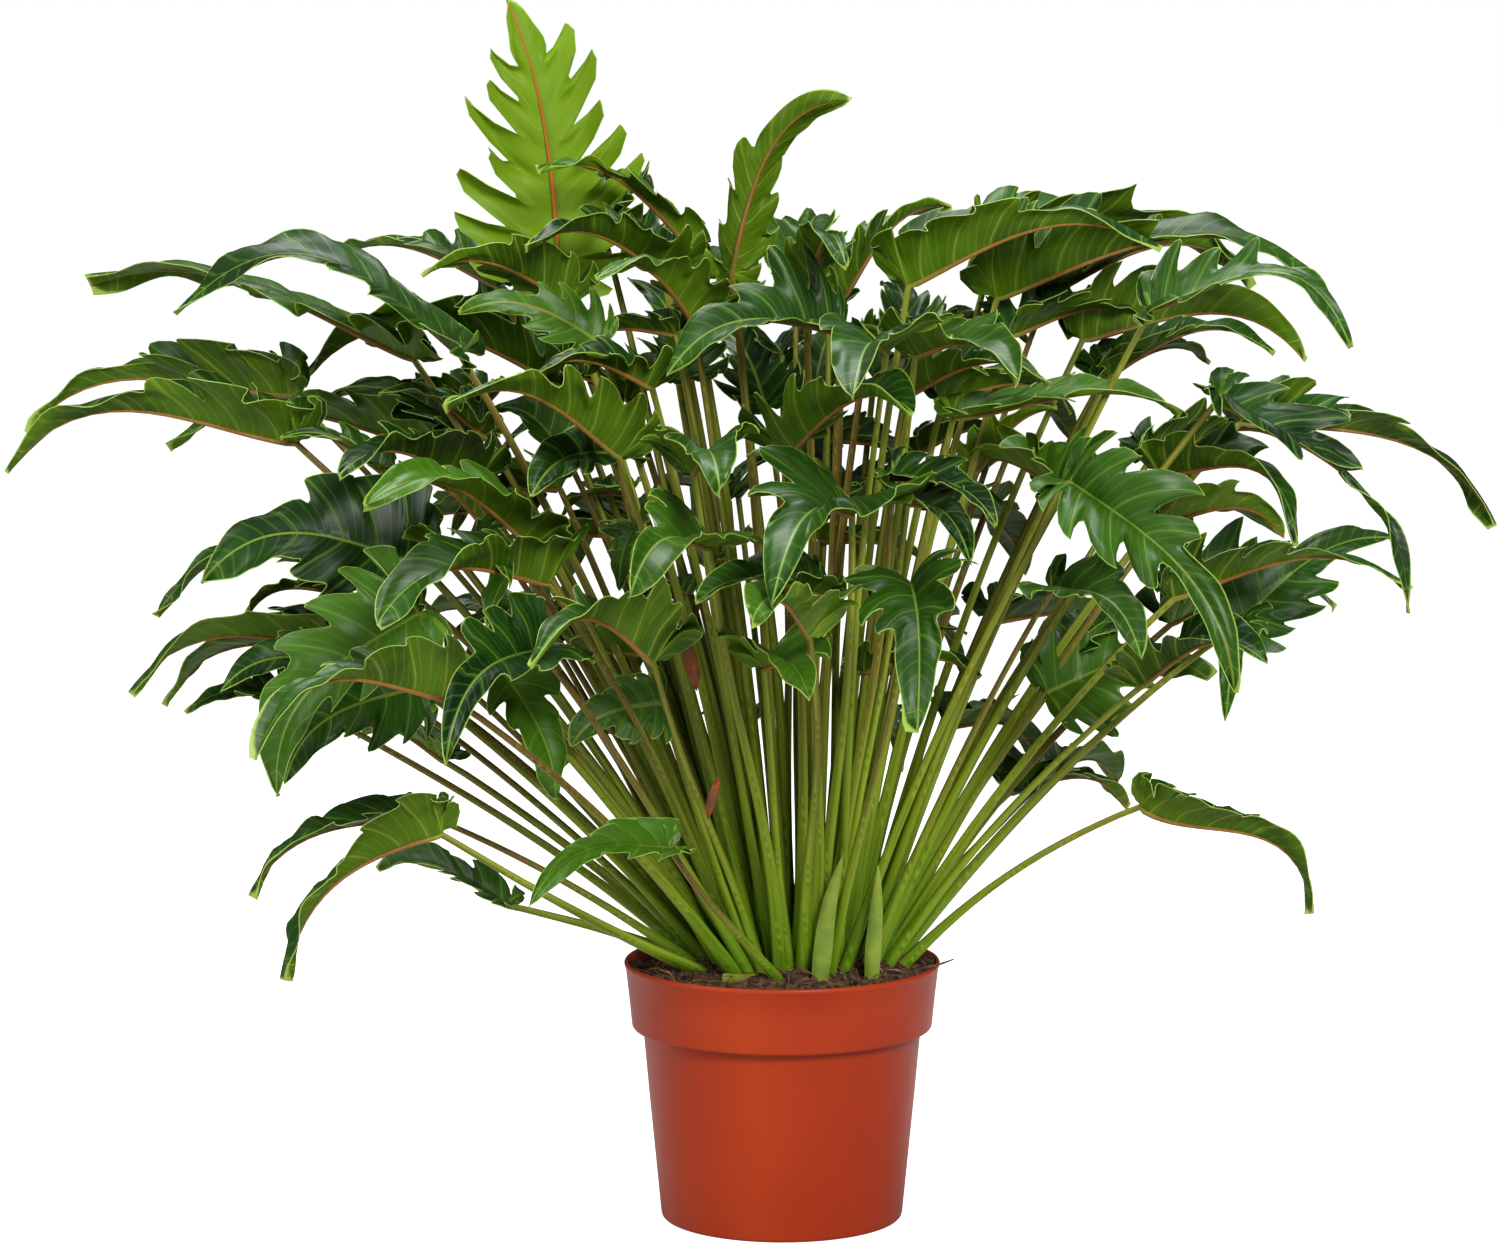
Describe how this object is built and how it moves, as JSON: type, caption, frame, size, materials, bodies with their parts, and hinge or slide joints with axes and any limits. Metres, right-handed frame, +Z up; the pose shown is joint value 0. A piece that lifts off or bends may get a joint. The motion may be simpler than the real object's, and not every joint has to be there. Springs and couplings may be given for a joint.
{
  "type": "potted xanadu philodendron",
  "caption": "Full clump of deeply lobed glossy green leaves on long arching petioles, growing from peat in a round terracotta-orange plastic nursery pot with a tall collar",
  "frame": {"origin": "the centre of the pot's flat base, on the surface it stands on", "axes": "+Z up along the pot's axis, the pictured side faces -Y, +X to the viewer's right"},
  "size_m": [0.9867, 0.5203, 0.8062],
  "materials": {
    "pot": "satin",
    "soil": "matte",
    "leaf": "satin",
    "stub": "satin",
    "twig": "matte",
    "sheath": "satin"
  },
  "bodies": {
    "root": {"pot": "pot", "soil": "soil", "leaf_left_01": "leaf", "leaf_left_02": "leaf", "leaf_left_03": "leaf", "leaf_left_04": "leaf", "leaf_left_05": "leaf", "leaf_left_06": "leaf", "leaf_left_07": "leaf", "leaf_left_08": "leaf", "leaf_left_09": "leaf", "leaf_left_10": "leaf", "leaf_left_11": "leaf", "leaf_left_12": "leaf", "leaf_left_13": "leaf", "leaf_left_14": "leaf", "leaf_left_15": "leaf", "leaf_left_16": "leaf", "leaf_left_17": "leaf", "leaf_left_18": "leaf", "leaf_left_19": "leaf", "leaf_left_20": "leaf", "leaf_left_21": "leaf", "leaf_left_22": "leaf", "leaf_left_23": "leaf", "leaf_top_01": "leaf", "leaf_top_02": "leaf", "leaf_top_03": "leaf", "leaf_top_04": "leaf", "leaf_top_05": "leaf", "leaf_top_06": "leaf", "leaf_top_07": "leaf", "leaf_top_08": "leaf", "leaf_centre_01": "leaf", "leaf_centre_02": "leaf", "leaf_centre_03": "leaf", "leaf_centre_04": "leaf", "leaf_centre_05": "leaf", "leaf_centre_06": "leaf", "leaf_centre_07": "leaf", "leaf_centre_08": "leaf", "leaf_centre_09": "leaf", "leaf_centre_10": "leaf", "leaf_right_01": "leaf", "leaf_right_02": "leaf", "leaf_right_03": "leaf", "leaf_right_04": "leaf", "leaf_right_05": "leaf", "leaf_right_06": "leaf", "leaf_right_07": "leaf", "leaf_right_08": "leaf", "leaf_right_09": "leaf", "leaf_right_10": "leaf", "leaf_right_11": "leaf", "leaf_right_12": "leaf", "leaf_right_13": "leaf", "cut_stub": "stub", "twig": "twig", "sheath_left": "sheath", "sheath_right": "sheath"}
  },
  "joints": []
}
